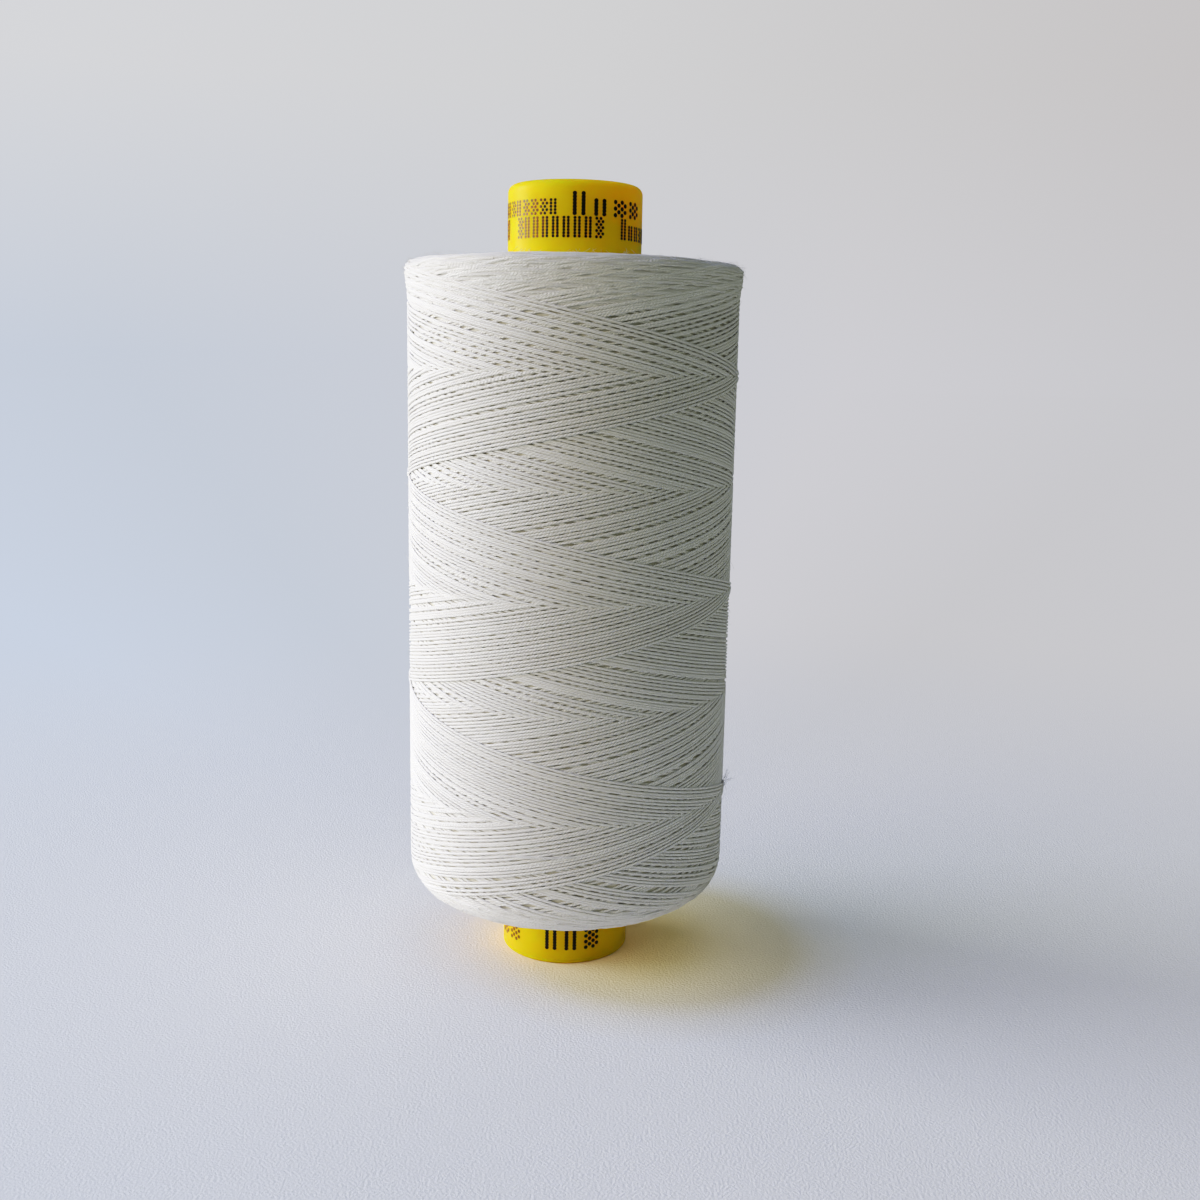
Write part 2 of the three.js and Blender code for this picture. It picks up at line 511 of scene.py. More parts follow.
def yarn_cloud_group():
    """Faint uneven tint of the undyed fibre, shared by every thread finish."""
    group = bpy.data.node_groups.new("yarn_cloud", "ShaderNodeTree")
    sockets = group.interface
    sockets.new_socket("Light Tint", in_out="INPUT", socket_type="NodeSocketColor")
    sockets.new_socket("Dark Tint", in_out="INPUT", socket_type="NodeSocketColor")
    sockets.new_socket("Turn Shade", in_out="INPUT", socket_type="NodeSocketFloat")
    sockets.new_socket("Color", in_out="OUTPUT", socket_type="NodeSocketColor")
    start = group.nodes.new("NodeGroupInput")
    end = group.nodes.new("NodeGroupOutput")
    where = object_place(group)
    clouds = reckon(group, "ADD", noise(group, where, 90.0, 2.0), noise(group, where, 2200.0, 2.0))
    clouds = reckon(group, "ADD", clouds, start.outputs["Turn Shade"])
    share = share_between(group, clouds, From_Min=0.75, From_Max=2.0)
    mixed = mixed_colour(group, share, start.outputs["Light Tint"], start.outputs["Dark Tint"])
    group.links.new(mixed, end.inputs["Color"])
    return group


yarn_cloud = yarn_cloud_group()


def yarn_tint(tree, surface, light, dark, turn_shade=None):
    """Places the shared yarn tint in a material, between a light and a dark colour."""
    tint = tree.nodes.new("ShaderNodeGroup")
    tint.node_tree = yarn_cloud
    tint.inputs["Light Tint"].default_value = (*light, 1)
    tint.inputs["Dark Tint"].default_value = (*dark, 1)
    tint.inputs["Turn Shade"].default_value = 0.5
    if turn_shade:
        tree.links.new(turn_shade, tint.inputs["Turn Shade"])
    tree.links.new(tint.outputs["Color"], surface.inputs["Base Color"])


# The same yarn as the outer turns, painted darker and warmer: painted shade in the slits between them
thread_under_painted_shade, tree, surface = finish("thread_under_painted_shade", Roughness=0.95, Specular_IOR_Level=0.1)
yarn_tint(tree, surface, (0.88, 0.84, 0.72), (0.78, 0.73, 0.60))
layers = shade_node(tree, "ShaderNodeTexWave", Vector=object_place(tree), bands_direction="Z",
                    Scale=950.0, Distortion=1.5, Detail=1.0)
relief(tree, surface, layers.outputs["Fac"], 0.6, 0.0001)
wound_body.data.materials.append(thread_under_painted_shade)
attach(wound_body, "root")
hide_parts("winding")

# The outer turns of thread
# One rising and one falling layer of twisted polyester thread, laid crosswise by the
# winder's guide. Where two threads cross, the one laid later lies on top.

LINES = 63
THREAD_WIDTH = 0.262
THREAD_THICKNESS = 0.24
TURNS = 3.0
MIDDLE = (RISING_AT_FRONT + FALLING_AT_FRONT) / 2 - LAY_PITCH
SLIP_START = 16.0
SLIP_REACH = 7.3
SLIP = 1.1
STEPS_PER_TURN = 82
SECTION_TURN = -TURN / 4


def on_package(nodes, travel, lift, turns):
    """Place, in metres, of a point from its way along the package's outline (its height on
    the straight side, then on round the edge and in across the end), how far it stands out
    from that outline, and its turns about the axis."""
    below = nodes.beyond_zero(nodes.less(SIDE_FOOT, travel))
    above = nodes.beyond_zero(nodes.less(travel, SIDE_TOP))
    down = nodes.sum("MINIMUM", nodes.times(below, 1 / SHOULDER), TURN / 4)
    over = nodes.sum("MINIMUM", nodes.times(above, 1 / TOP_CORNER), TURN / 4)
    inward = nodes.plus(
        nodes.beyond_zero(nodes.less(below, SHOULDER * TURN / 4)),
        nodes.beyond_zero(nodes.less(above, TOP_CORNER * TURN / 4)),
    )
    side = nodes.sum("MINIMUM", nodes.sum("MAXIMUM", travel, SIDE_FOOT), SIDE_TOP)
    cos_down, sin_down = nodes.sum("COSINE", down), nodes.sum("SINE", down)
    cos_over, sin_over = nodes.sum("COSINE", over), nodes.sum("SINE", over)
    drawn_in = nodes.plus(
        nodes.times(nodes.less(1.0, cos_down), SHOULDER),
        nodes.times(nodes.less(1.0, cos_over), TOP_CORNER),
        inward,
    )
    below_top = nodes.times(nodes.less(SIDE_TOP, travel), 1 / LIP_WIDTH)
    lip = nodes.times(nodes.sum("EXPONENT", nodes.times(below_top, below_top, -1.0)), LIP)
    radius = nodes.plus(
        nodes.less(PACKAGE_RADIUS, drawn_in), lip, nodes.times(lift, cos_down, cos_over)
    )
    height = nodes.plus(
        side,
        nodes.times(sin_over, nodes.plus(TOP_CORNER, lift)),
        nodes.times(sin_down, nodes.plus(SHOULDER, lift), -1.0),
    )
    angle = nodes.times(turns, TURN)
    return nodes.vector(
        nodes.times(radius, nodes.sum("SINE", angle), MM),
        nodes.times(radius, nodes.sum("COSINE", angle), -MM),
        nodes.times(height, MM),
    )


def pressed_section(nodes, width, thickness):
    """The closed section of a laid thread: round outside, flat where it presses inwards."""
    arc = nodes.add(
        "GeometryNodeCurveArc", {"mode": "RADIUS"},
        Resolution=6, Radius=0.5 * MM, Start_Angle=math.radians(-25), Sweep_Angle=math.radians(230),
    ).outputs[0]
    ring = nodes.add("GeometryNodeSetSplineCyclic", Geometry=arc, Cyclic=True).outputs[0]
    size = nodes.vector(width, thickness, 1.0)
    sized = nodes.add("GeometryNodeTransform", Geometry=ring, Scale=size).outputs[0]
    return nodes.add("GeometryNodeTransform", Geometry=sized, Rotation=(0, 0, SECTION_TURN)).outputs[0]


def round_section(nodes, width, corners):
    """The closed section of a thread or fibre that nothing presses."""
    return nodes.add("GeometryNodeCurvePrimitiveCircle", {"mode": "RADIUS"},
                     Resolution=corners, Radius=nodes.times(width, 0.5 * MM)).outputs[0]


def swept_thread(nodes, curves, along, shade, section):
    """Sweeps the section along the threads and keeps, for the twist of the plies, how far
    along its thread and how far round it each point lies, and the shade of its thread."""
    upright = nodes.add("GeometryNodeSetCurveNormal", {"mode": "Z_UP"}, Curve=curves).outputs[0]
    run = nodes.add("GeometryNodeCaptureAttribute", {"domain": "POINT"}, Geometry=upright)
    run.capture_items.new("FLOAT", "along")
    run.capture_items.new("FLOAT", "shade")
    nodes.put(run.inputs[1], along)
    nodes.put(run.inputs[2], shade)
    round_it = nodes.add("GeometryNodeSplineParameter").outputs["Factor"]
    rim = nodes.add("GeometryNodeCaptureAttribute", {"domain": "POINT"}, Geometry=section)
    rim.capture_items.new("FLOAT", "around")
    nodes.put(rim.inputs[1], round_it)
    mesh = nodes.add(
        "GeometryNodeCurveToMesh",
        Curve=run.outputs[0], Profile_Curve=rim.outputs[0], Fill_Caps=True,
    ).outputs[0]
    kept = nodes.add("GeometryNodeStoreNamedAttribute", {"data_type": "FLOAT_VECTOR", "domain": "POINT"},
                     Geometry=mesh, Name="thread_run",
                     Value=nodes.vector(run.outputs[1], rim.outputs[1], run.outputs[2]))
    return nodes.add("GeometryNodeSetShadeSmooth", Geometry=kept.outputs[0]).outputs[0]


def numbered_lines(nodes, count, points):
    """Straight lines of so many points, and the number that each point's line has."""
    straight = nodes.add("GeometryNodeCurvePrimitiveLine").outputs[0]
    stepped = nodes.add("GeometryNodeResampleCurve", Curve=straight, Count=points).outputs[0]
    copies = nodes.add("GeometryNodeDuplicateElements", {"domain": "SPLINE"}, Geometry=stepped, Amount=count)
    number = nodes.add("GeometryNodeCaptureAttribute", {"domain": "POINT"}, Geometry=copies.outputs[0])
    number.capture_items.new("FLOAT", "line")
    nodes.put(number.inputs[1], copies.outputs["Duplicate Index"])
    return number.outputs[0], number.outputs[1]


lay = NodeTree("lay_of_threads", {
    "Lines": ("Int", LINES),
    "Points": ("Int", 200),
    "Turns": ("Float", TURNS),
    "Pitch": ("Float", LAY_PITCH),
    "Middle": ("Float", MIDDLE),
    "Direction": ("Float", 1.0),
    "Own Start": ("Float", 0.0),
    "Own Swing": ("Float", 0.0),
    "Other Start": ("Float", 0.0),
    "Other Swing": ("Float", 0.0),
    "Layer Step": ("Float", LAYER_STEP),
    "Sharpest Turn": ("Float", 0.012),
    "Softest Turn": ("Float", 0.09),
    "Width": ("Float", THREAD_WIDTH),
    "Thickness": ("Float", THREAD_THICKNESS),
    "Tight Lines": ("Float", 4.0),
    "Pairing": ("Float", 0.12),
    "Unevenness": ("Float", 0.16),
    "Drift": ("Float", 0.2),
    "Stray": ("Float", 0.7),
    "Seed": ("Int", 1),
    "Material": ("Material", None),
})
value = lay.inputs
lines, line = numbered_lines(lay, value["Lines"], value["Points"])
share = lay.add("GeometryNodeSplineParameter").outputs["Factor"]


def rounded_turn(nodes, distance, softness):
    """The two straight slopes that meet where a thread turns back, rounded off by slipping."""
    return nodes.sum("SQRT", nodes.plus(nodes.times(distance, distance), nodes.times(softness, softness)))


# Turns from the start, and the height of a thread that turns back at both ends, each time
# with its own softness
from_start = lay.times(share, value["Turns"])
half_turns = lay.times(value["Turns"], 0.5)
nearest = lay.sum("MINIMUM", from_start, lay.less(value["Turns"], from_start))
half_side = lay.sum("SIGN", lay.less(from_start, half_turns))
slipped = lay.chance(0.0, 1.0, line, lay.plus(value["Seed"], 70, half_side))
slipped = lay.times(slipped, slipped, lay.less(value["Softest Turn"], value["Sharpest Turn"]))
climb = lay.less(half_turns, rounded_turn(lay, nearest, lay.plus(value["Sharpest Turn"], slipped)))
own_age = lay.sum("DIVIDE", line, value["Lines"])
middle_turns = lay.sum("DIVIDE", lay.less(value["Middle"], value["Own Start"]), value["Pitch"])
middle_turns = lay.times(middle_turns, value["Direction"])
turns = lay.plus(lay.less(lay.less(middle_turns, half_turns), own_age), from_start)
swing = lay.sum("SINE", lay.times(turns, TURN))
clear_of_ends = lay.ramp(nearest, 0.0, 0.3)
swing_kept = lay.times(swing, value["Own Swing"], value["Direction"], clear_of_ends)
height = lay.plus(
    value["Middle"], lay.times(climb, value["Pitch"], half_side, value["Direction"]), swing_kept,
)

# Unevenness of the guide: threads lie in pairs, a little off, drift together in groups, and
# now and then one strays; only the last few of a family lie tight beside each other
odd = lay.less(lay.times(lay.sum("FLOORED_MODULO", line, 2.0), 2.0), 1.0)
off = lay.chance(-1.0, 1.0, line, value["Seed"])
far_off = lay.chance(-1.0, 1.0, line, lay.plus(value["Seed"], 50))
far_off = lay.times(far_off, far_off, far_off, far_off, far_off)
drift = lay.cloud(lay.times(from_start, 2.2), lay.plus(lay.times(line, 0.37), value["Seed"]))
loose = lay.ramp(line, value["Tight Lines"], lay.plus(value["Tight Lines"], 3.0))
shift = lay.plus(
    lay.times(odd, value["Pairing"]), lay.times(off, value["Unevenness"]),
    lay.times(drift, value["Drift"]), lay.times(far_off, value["Stray"]),
)
spacing = lay.sum("DIVIDE", value["Pitch"], value["Lines"])
travel = lay.plus(height, lay.times(shift, spacing, loose))

# Age of the other family's thread at this place, and which of the two lies on top
gap = lay.times(lay.less(value["Other Start"], height), value["Direction"])
gap = lay.less(gap, lay.times(swing, value["Other Swing"]))
other_age = lay.sum("FLOORED_MODULO", lay.less(lay.sum("DIVIDE", gap, value["Pitch"]), turns), 1.0)
lead = lay.times(lay.less(other_age, own_age), value["Lines"])
on_top = lay.ramp(lead, -1.3, 1.3)
layers = lay.times(lay.less(lay.less(1.0, own_age), other_age), clear_of_ends)
lift = lay.times(lay.plus(layers, lay.less(on_top, 1.0)), value["Layer Step"])
lift = lay.less(lift, lay.times(value["Thickness"], 0.5))

# Thread that slips down the rounded shoulder at the foot
fallen = lay.times(lay.beyond_zero(lay.less(SLIP_START, travel)), 1 / SLIP_REACH)
travel = lay.less(travel, lay.times(fallen, fallen, SLIP))
placed = lay.add("GeometryNodeSetPosition", Geometry=lines,
                 Position=on_package(lay, travel, lift, turns)).outputs[0]
along = lay.plus(lay.times(from_start, TURN * PACKAGE_RADIUS), lay.times(off, 40.0))
shade = lay.plus(lay.times(off, 0.5), 0.5)
section = pressed_section(lay, value["Width"], value["Thickness"])
lay.finish(swept_thread(lay, placed, along, shade, section), value["Material"])

PLY_TURNS_PER_MM = 0.9
PLIES = 3
VECTORS = "ShaderNodeVectorMath"
thread_yarn, tree, surface = finish(
    "thread_yarn", Roughness=0.85, Specular_IOR_Level=0.2, Sheen_Weight=0.35, Sheen_Roughness=0.5,
)
run = shade_node(tree, "ShaderNodeAttribute", attribute_name="thread_run").outputs["Vector"]
split = shade_node(tree, "ShaderNodeSeparateXYZ", Vector=run).outputs
yarn_tint(tree, surface, (0.93, 0.905, 0.86), (0.86, 0.825, 0.77), split["Z"])
wound_on = reckon(tree, "MULTIPLY", split["X"], PLY_TURNS_PER_MM * PLIES * TURN)
ply_angle = reckon(tree, "MULTIPLY_ADD", split["Y"], PLIES * TURN, wound_on)
wave = reckon(tree, "SINE", ply_angle)

# Light wraps round the loose fibre surface of a thread, so its shading leans outwards
place = object_place(tree)
flat = reckon(tree, "MULTIPLY", place, (1, 1, 0), kind=VECTORS)
outward = reckon(tree, "NORMALIZE", flat, kind=VECTORS)
level = one_axis(tree, place, "Z")
off_top = share_between(tree, level, From_Min=0.0712, From_Max=0.0695, To_Max=0.9)
off_foot = share_between(tree, level, From_Min=0.008, From_Max=0.0105)
lean = reckon(tree, "MULTIPLY", off_top, off_foot)
leaning = shade_node(tree, VECTORS, operation="SCALE", in_0=outward, Scale=lean).outputs[0]
own = shade_node(tree, "ShaderNodeNewGeometry").outputs["Normal"]
wrapped = reckon(tree, "ADD", own, leaning, kind=VECTORS)
softened = reckon(tree, "NORMALIZE", wrapped, kind=VECTORS)
relief(tree, surface, wave, 0.7, 0.00002, over=softened)

points_in_thread = int(TURNS * STEPS_PER_TURN) + 1
rising = lay.make("threads_rising", {
    "Points": points_in_thread, "Direction": 1.0, "Seed": 11, "Material": thread_yarn,
    "Own Start": RISING_AT_FRONT, "Own Swing": RISING_SWING,
    "Other Start": FALLING_AT_FRONT, "Other Swing": FALLING_SWING,
    "Pairing": 0.04, "Unevenness": 0.06,
})
falling = lay.make("threads_falling", {
    "Points": points_in_thread, "Direction": -1.0, "Seed": 12, "Material": thread_yarn,
    "Own Start": FALLING_AT_FRONT, "Own Swing": FALLING_SWING,
    "Other Start": RISING_AT_FRONT, "Other Swing": RISING_SWING,
    "Pairing": 0.05, "Unevenness": 0.05,
})
for threads in (rising, falling):
    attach(threads, "root")

# The turns at the two ends
# At each end face the thread of every layer bends back in a shallow arc. The arcs lie over
# each other in a spiral from the tube out to the rim, and dive back under their neighbours.

END_LAYER = 0.45
END_POINTS = 9
END_WIDTH = 0.30
TOP_RIM_TRAVEL = SIDE_TOP - 4.0
TOP_TUBE_TRAVEL = SIDE_TOP + TOP_CORNER * TURN / 4 + PACKAGE_RADIUS - TOP_CORNER - 6.95
FOOT_RIM_TRAVEL = SIDE_FOOT - 1.0
FOOT_TUBE_TRAVEL = SIDE_FOOT - SHOULDER * TURN / 4 - (PACKAGE_RADIUS - SHOULDER - 6.95)

turn_backs = NodeTree("turns_at_the_end", {
    "Ends": ("Int", 100),
    "Per Turn": ("Float", float(LINES)),
    "Points": ("Int", END_POINTS),
    "First Turn": ("Float", 0.0),
    "Half Span": ("Float", 0.075),
    "First Travel": ("Float", 80.0),
    "Last Travel": ("Float", 71.0),
    "Climb": ("Float", 0.0),
    "Pitch": ("Float", LAY_PITCH),
    "Turnback": ("Float", 0.08),
    "Spread": ("Float", 0.2),
    "Lift": ("Float", 0.0),
    "Depth On Side": ("Float", 0.14),
    "Unevenness": ("Float", 0.1),
    "Width": ("Float", END_WIDTH),
    "Seed": ("Int", 1),
    "Material": ("Material", None),
})
value = turn_backs.inputs
lines, line = numbered_lines(turn_backs, value["Ends"], value["Points"])
share = turn_backs.add("GeometryNodeSplineParameter").outputs["Factor"]
from_tube = turn_backs.sum("DIVIDE", line, value["Ends"])
off = turn_backs.chance(-1.0, 1.0, line, value["Seed"])
up = turn_backs.chance(-1.0, 1.0, line, turn_backs.plus(value["Seed"], 50))
stretch = turn_backs.chance(0.85, 1.15, line, turn_backs.plus(value["Seed"], 90))
from_crest = turn_backs.times(turn_backs.less(share, 0.5), 2.0, value["Half Span"], stretch)
crest = turn_backs.plus(value["First Turn"], turn_backs.sum("DIVIDE", line, value["Per Turn"]))
outwards = turn_backs.times(turn_backs.less(value["Last Travel"], value["First Travel"]), from_tube)
travel = turn_backs.plus(
    value["First Travel"], outwards, turn_backs.times(off, value["Spread"]),
    turn_backs.times(from_crest, value["Climb"]),
)
dip = turn_backs.less(rounded_turn(turn_backs, from_crest, value["Turnback"]), value["Turnback"])
dip = turn_backs.times(dip, value["Pitch"])
on_side = turn_backs.times(
    turn_backs.less(1.0, turn_backs.ramp(travel, SIDE_TOP - 3.4, SIDE_TOP - 1.4)),
    turn_backs.ramp(travel, SIDE_FOOT - SHOULDER * 0.6, SIDE_FOOT - SHOULDER * 0.1),
)
lift = turn_backs.plus(
    value["Lift"], turn_backs.times(dip, -1.0), turn_backs.times(up, value["Unevenness"]),
    turn_backs.times(on_side, value["Depth On Side"], -1.0),
    turn_backs.times(value["Width"], -0.5),
)
placed = turn_backs.add(
    "GeometryNodeSetPosition", Geometry=lines,
    Position=on_package(turn_backs, travel, lift, turn_backs.plus(crest, from_crest)),
).outputs[0]
along = turn_backs.plus(turn_backs.times(from_crest, TURN * PACKAGE_RADIUS), turn_backs.times(off, 40.0))
shade = turn_backs.plus(turn_backs.times(off, 0.5), 0.5)
section = round_section(turn_backs, value["Width"], 5)
turn_backs.finish(swept_thread(turn_backs, placed, along, shade, section), value["Material"])


def ends_between(tube_travel, rim_travel):
    """How many turn-backs lie between the tube and the rim of an end."""
    return int(LINES * abs(tube_travel - rim_travel) / END_LAYER)


top_turns = turn_backs.make("threads_top_end", {
    "Ends": ends_between(TOP_TUBE_TRAVEL, TOP_RIM_TRAVEL), "Seed": 31, "Material": thread_yarn,
    "First Travel": TOP_TUBE_TRAVEL, "Last Travel": TOP_RIM_TRAVEL,
})
foot_turns = turn_backs.make("threads_foot_end", {
    "Ends": ends_between(FOOT_TUBE_TRAVEL, FOOT_RIM_TRAVEL), "Seed": 32, "Material": thread_yarn,
    "First Travel": FOOT_TUBE_TRAVEL, "Last Travel": FOOT_RIM_TRAVEL,
})
for threads in (top_turns, foot_turns):
    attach(threads, "root")

# Stray thread and loose fibres
# One turn lies across the others near the foot, a worn tuft stands off the right edge, and
# short ends of fibre stick out all over the yarn, most of all along the upper rim.

stray_turn = turn_backs.make("thread_out_of_lay", {
    "Ends": 1, "Points": 40, "First Turn": -7.2 / 360, "Half Span": 0.068, "First Travel": 15.36,
    "Last Travel": 15.36, "Climb": 5.2, "Pitch": 14.0, "Spread": 0.0, "Unevenness": 0.0,
    "Lift": 0.17, "Depth On Side": 0.0, "Width": 0.28, "Seed": 5, "Material": thread_yarn,
})
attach(stray_turn, "root")

fibres = NodeTree("loose_fibres", {
    "Count": ("Int", 100),
    "Lowest": ("Float", 8.0),
    "Highest": ("Float", 70.0),
    "First Turn": ("Float", 0.0),
    "Last Turn": ("Float", 1.0),
    "Shortest": ("Float", 0.3),
    "Longest": ("Float", 1.1),
    "First Way": ("Float", 0.0),
    "Last Way": ("Float", 1.0),
    "Stand": ("Float", 0.6),
    "Curl": ("Float", 0.5),
    "Width": ("Float", 0.016),
    "Seed": ("Int", 1),
    "Material": ("Material", None),
})
value = fibres.inputs
lines, line = numbered_lines(fibres, value["Count"], 6)
share = fibres.add("GeometryNodeSplineParameter").outputs["Factor"]


def fibre_chance(low, high, step):
    return fibres.chance(low, high, line, fibres.plus(value["Seed"], step))


root_travel = fibre_chance(value["Lowest"], value["Highest"], 0)
root_turns = fibre_chance(value["First Turn"], value["Last Turn"], 1)
length = fibre_chance(value["Shortest"], value["Longest"], 2)
way = fibres.times(fibre_chance(value["First Way"], value["Last Way"], 3), TURN)
stand = fibres.times(fibre_chance(0.2, 1.0, 4), value["Stand"])
curl = fibres.times(fibre_chance(-1.0, 1.0, 5), value["Curl"])
bend = fibres.plus(way, fibres.times(curl, share, 2.0))
reach = fibres.times(length, share)
rise = fibres.times(reach, fibres.sum("COSINE", bend))
round_it = fibres.times(reach, fibres.sum("SINE", bend), 1 / (TURN * PACKAGE_RADIUS))
lift = fibres.times(reach, fibres.less(stand, fibres.times(share, curl, 0.5)))
fibre_place = on_package(
    fibres, fibres.plus(root_travel, rise), fibres.less(lift, 0.05), fibres.plus(root_turns, round_it),
)
placed = fibres.add("GeometryNodeSetPosition", Geometry=lines, Position=fibre_place).outputs[0]
section = round_section(fibres, value["Width"], 3)
fibres.finish(swept_thread(fibres, placed, reach, 0.3, section), value["Material"])

fuzz = joined([
    fibres.make("fuzz_side", {"Count": 700, "Lowest": 8.0, "Highest": 70.0, "Seed": 41,
                              "Material": thread_yarn}),
    fibres.make("fuzz_rim", {"Count": 420, "Lowest": 70.2, "Highest": 71.2, "Seed": 42,
                             "Longest": 0.8, "Stand": 0.8, "Material": thread_yarn}),
    fibres.make("fuzz_end", {"Count": 240, "Lowest": 71.0, "Highest": 79.5, "Seed": 43,
                             "Longest": 0.9, "Material": thread_yarn}),
    fibres.make("tuft", {"Count": 16, "Lowest": 18.2, "Highest": 18.9, "First Turn": 0.2120,
                         "Last Turn": 0.2165, "Shortest": 0.8, "Longest": 2.0, "First Way": -0.05,
                         "Last Way": 0.10, "Stand": 0.75, "Curl": 0.8, "Width": 0.035, "Seed": 44,
                         "Material": thread_yarn}),
    fibres.make("pale_fibre", {"Count": 1, "Lowest": 63.8, "Highest": 63.8, "First Turn": 0.0592,
                               "Last Turn": 0.0592, "Shortest": 1.45, "Longest": 1.45,
                               "First Way": 0.07, "Last Way": 0.07, "Stand": 0.9, "Curl": 0.0,
                               "Width": 0.06, "Seed": 45, "Material": thread_yarn}),
], "loose_fibres")
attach(fuzz, "root")

# The floor, the light and the camera
# A seamless pale sheet under and behind the spool, wide soft window light from the left,
# and a camera a little above the spool's foot, close in.

FLOOR_REACH = 3.0
FLOOR_SIDES = 64


def studio_painted_light_group():
    """Painted window light on the distant sheet in a direction: cooler and brighter on the window's side,
    dimmer away from it.
    """
    group = bpy.data.node_groups.new("studio_painted_light", "ShaderNodeTree")
    group.interface.new_socket("Direction", in_out="INPUT", socket_type="NodeSocketVector")
    group.interface.new_socket("Color", in_out="OUTPUT", socket_type="NodeSocketColor")
    start = group.nodes.new("NodeGroupInput")
    end = group.nodes.new("NodeGroupOutput")
    unit = reckon(group, "NORMALIZE", start.outputs["Direction"], kind=VECTORS)
    split = shade_node(group, "ShaderNodeSeparateXYZ", Vector=unit).outputs
    sideways = share_between(group, split["X"], From_Min=-1.0, From_Max=1.0)
    low = colour_ramp(
        group, sideways, (0.2, (0.676, 0.791, 1.026)), (0.34, (0.638, 0.718, 0.875)),
        (0.6, (0.733, 0.727, 0.786)), (0.72, (0.665, 0.661, 0.701)),
    )
    high = colour_ramp(
        group, sideways, (0.32, (0.829, 0.841, 0.886)), (0.5, (0.771, 0.771, 0.786)),
        (0.70, (0.649, 0.623, 0.629)),
    )
    upward = share_between(group, split["Z"], From_Min=0.0, From_Max=0.19)
    group.links.new(mixed_colour(group, upward, low, high), end.inputs["Color"])
    return group


studio_painted_light = studio_painted_light_group()
ROOM_GLOW = (0.205, 0.226, 0.175)


def toned_glow(tree, direction):
    """The studio's tone as the eye sees it, and the dim glow of the room for other light."""
    tone = tree.nodes.new("ShaderNodeGroup")
    tone.node_tree = studio_painted_light
    tree.links.new(direction, tone.inputs["Direction"])
    seen = shade_node(tree, "ShaderNodeLightPath").outputs["Is Camera Ray"]
    return mixed_colour(tree, seen, (*ROOM_GLOW, 1), tone.outputs["Color"])


floor_mesh = bpy.data.meshes.new("floor")
rings = [0.3, 0.6, 1.2, FLOOR_REACH]
floor_points = [(0, 0, 0)]
for reach in rings:
    for side in range(FLOOR_SIDES):
        angle = TURN * side / FLOOR_SIDES
        floor_points.append((reach * math.cos(angle), reach * math.sin(angle), 0))
floor_faces = []
for side in range(FLOOR_SIDES):
    beside = (side + 1) % FLOOR_SIDES
    floor_faces.append((0, 1 + side, 1 + beside))
    for ring in range(len(rings) - 1):
        inner, outer = 1 + ring * FLOOR_SIDES, 1 + (ring + 1) * FLOOR_SIDES
        floor_faces.append((inner + side, outer + side, outer + beside, inner + beside))
floor_mesh.from_pydata(floor_points, [], floor_faces)
floor = bpy.data.objects.new("floor", floor_mesh)
bpy.context.collection.objects.link(floor)

# Painted yellow glow on the paper beside the foot, standing in for light that has passed through the tube,
# with painted shade a little further out
paper, tree, surface = finish("pale_paper", Roughness=1.0, Specular_IOR_Level=0.0)
place = object_place(tree)
from_painted_glow = shade_node(tree, VECTORS, operation="DISTANCE", in_0=place, in_1=(0.010, -0.001, 0))
painted_glow_share = share_between(tree, from_painted_glow.outputs["Value"], From_Max=0.026)
painted_glow_and_shade = colour_ramp(
    tree, painted_glow_share, (0.2, (1.0, 0.88, 0.56)), (0.37, (0.92, 0.81, 0.55)),
    (0.53, (0.78, 0.70, 0.49)), (0.68, (0.81, 0.78, 0.70)), (0.85, (0.82, 0.82, 0.81)),
)
tree.links.new(painted_glow_and_shade, surface.inputs["Base Color"])
relief(tree, surface, noise(tree, place, 4200.0, 3.0), 0.8, 0.00011)

# Away from the spool the lit paper passes into the distant sheet, which glows with painted window light for
# the eye and a dim room glow for other light
glow = shade_node(tree, "ShaderNodeEmission", Color=toned_glow(tree, place)).outputs[0]
from_spool = shade_node(tree, VECTORS, operation="LENGTH", in_0=place).outputs["Value"]
far = share_between(tree, from_spool, interpolation_type="SMOOTHSTEP", From_Min=0.0, From_Max=0.20)
both = shade_node(tree, "ShaderNodeMixShader", Fac=far, in_1=surface.outputs[0], in_2=glow)
tree.links.new(both.outputs[0], tree.nodes["Material Output"].inputs["Surface"])
floor_mesh.materials.append(paper)

world = bpy.data.worlds.new("studio")
bpy.context.scene.world = world
world.use_nodes = True
tree = world.node_tree
direction = shade_node(tree, "ShaderNodeTexCoord").outputs["Generated"]
tree.links.new(toned_glow(tree, direction), tree.nodes["Background"].inputs["Color"])


def soft_light(name, bearing, slope, side, power, colour):
    """A square soft light one metre off, at a bearing round from the front, in degrees, and a
    slope above the floor, aimed at the spool."""
    light = bpy.data.lights.new(name, "AREA")
    light.shape = "RECTANGLE"
    light.size = side
    light.size_y = side
    light.energy = power
    light.color = colour
    lamp = bpy.data.objects.new(name, light)
    bpy.context.collection.objects.link(lamp)
    bearing, slope = math.radians(bearing), math.radians(slope)
    aim = Vector((0, 0, 0.04))
    lamp.location = aim + Vector((
        math.sin(bearing) * math.cos(slope), -math.cos(bearing) * math.cos(slope), math.sin(slope),
    ))
    lamp.rotation_euler = (aim - lamp.location).to_track_quat("-Z", "Y").to_euler()
    lamp.visible_camera = False


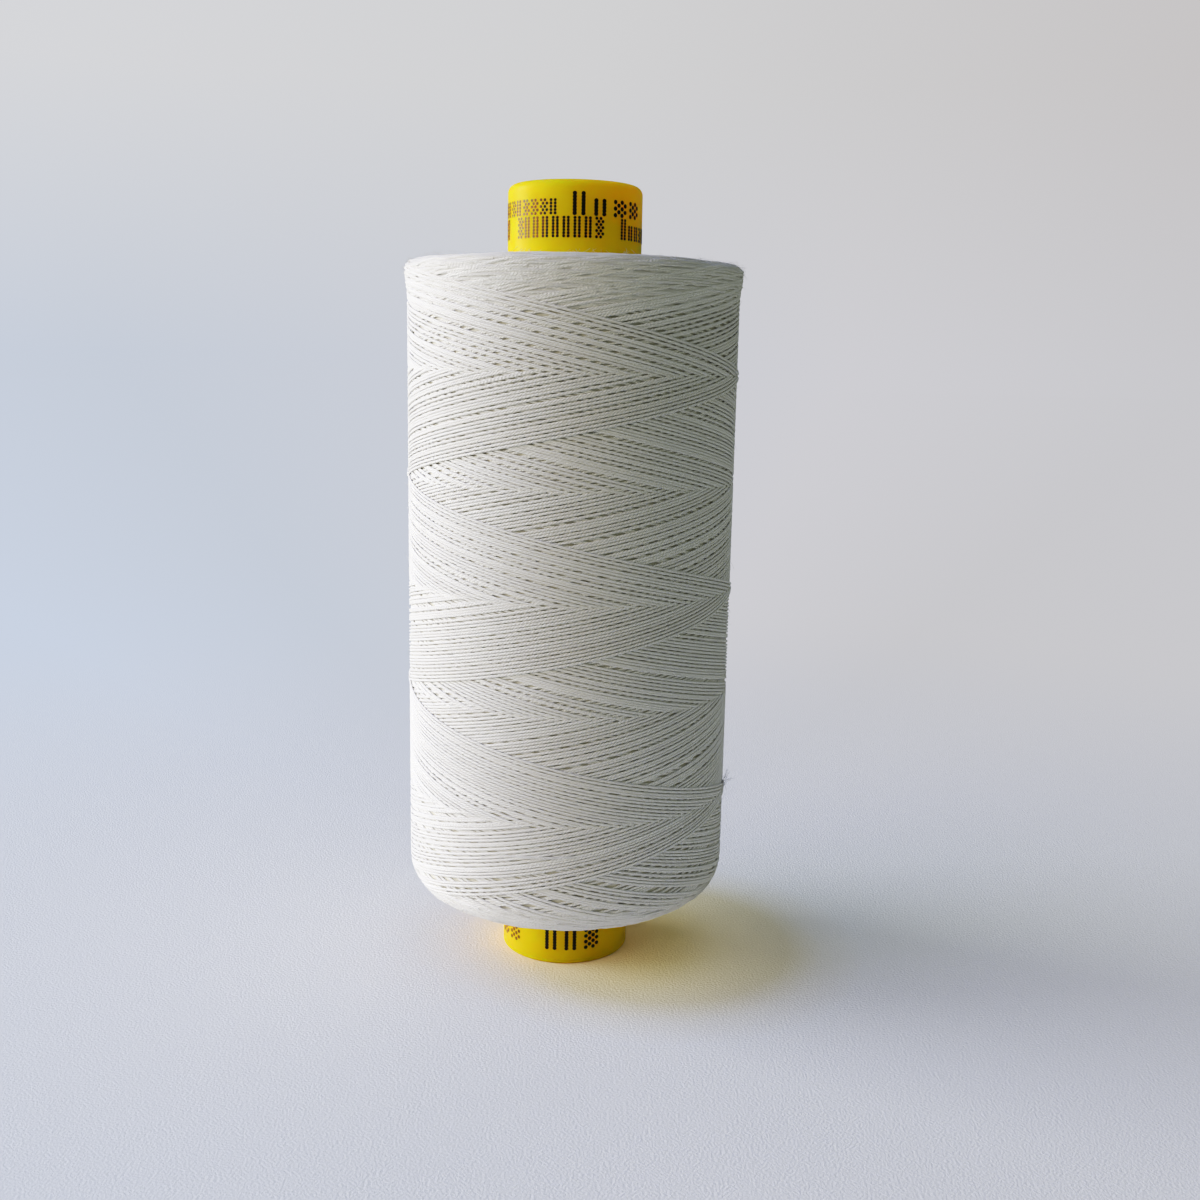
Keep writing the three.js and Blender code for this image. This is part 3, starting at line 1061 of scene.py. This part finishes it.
soft_light("window_light", bearing=-100, slope=12, side=0.6, power=17.7, colour=(0.91, 0.96, 1.0))
soft_light("side_light", bearing=-65, slope=12, side=0.6, power=6.0, colour=(1.0, 0.90, 0.76))
soft_light("sky_light", bearing=-85, slope=40, side=0.6, power=2.3, colour=(0.05, 0.05, 1.0))
soft_light("ceiling_light", bearing=0, slope=88, side=1.0, power=2.8, colour=(0.44, 0.51, 1.0))

PHOTO_FOCAL = 1321.57
PHOTO_SIDE = 1200
SENSOR = 36.0
CAMERA_BACK = 0.134659
CAMERA_HEIGHT = 0.061664
CAMERA_PITCH, CAMERA_YAW, CAMERA_ROLL = 10.2975, 1.342, 1.0867
camera_data = bpy.data.cameras.new("camera")
camera_data.sensor_width = SENSOR
camera_data.lens = PHOTO_FOCAL / PHOTO_SIDE * SENSOR
camera_data.clip_start = 0.01
camera_data.clip_end = 10.0
camera = bpy.data.objects.new("camera", camera_data)
bpy.context.collection.objects.link(camera)
pitch, yaw, roll = (math.radians(turn) for turn in (CAMERA_PITCH, CAMERA_YAW, CAMERA_ROLL))
ahead = Vector((math.sin(yaw) * math.cos(pitch), math.cos(yaw) * math.cos(pitch), -math.sin(pitch)))
right = Vector((math.cos(yaw), -math.sin(yaw), 0))
upward = right.cross(ahead)
tilted_right = math.cos(roll) * right + math.sin(roll) * upward
tilted_up = math.cos(roll) * upward - math.sin(roll) * right
camera.matrix_world = Matrix((
    (tilted_right.x, tilted_up.x, -ahead.x, 0),
    (tilted_right.y, tilted_up.y, -ahead.y, -CAMERA_BACK),
    (tilted_right.z, tilted_up.z, -ahead.z, CAMERA_HEIGHT),
    (0, 0, 0, 1),
))
bpy.context.scene.camera = camera

# The phone camera's tone curve: it deepens the shadows a little and holds back the highlights
BRIGHTEST = 1.8
TONE_CURVE = [
    (0.02, 0.0106), (0.05, 0.0332), (0.10, 0.0789), (0.21, 0.20), (0.33, 0.33),
    (0.53, 0.497), (0.78, 0.645), (1.0, 0.749), (1.29, 0.87),
]
view = bpy.context.scene.view_settings
view.view_transform = "Standard"
view.use_curve_mapping = True
view.curve_mapping.white_level = (BRIGHTEST, BRIGHTEST, BRIGHTEST)
for light_in, tone_out in TONE_CURVE:
    view.curve_mapping.curves[3].points.new(light_in / BRIGHTEST, tone_out)
view.curve_mapping.update()
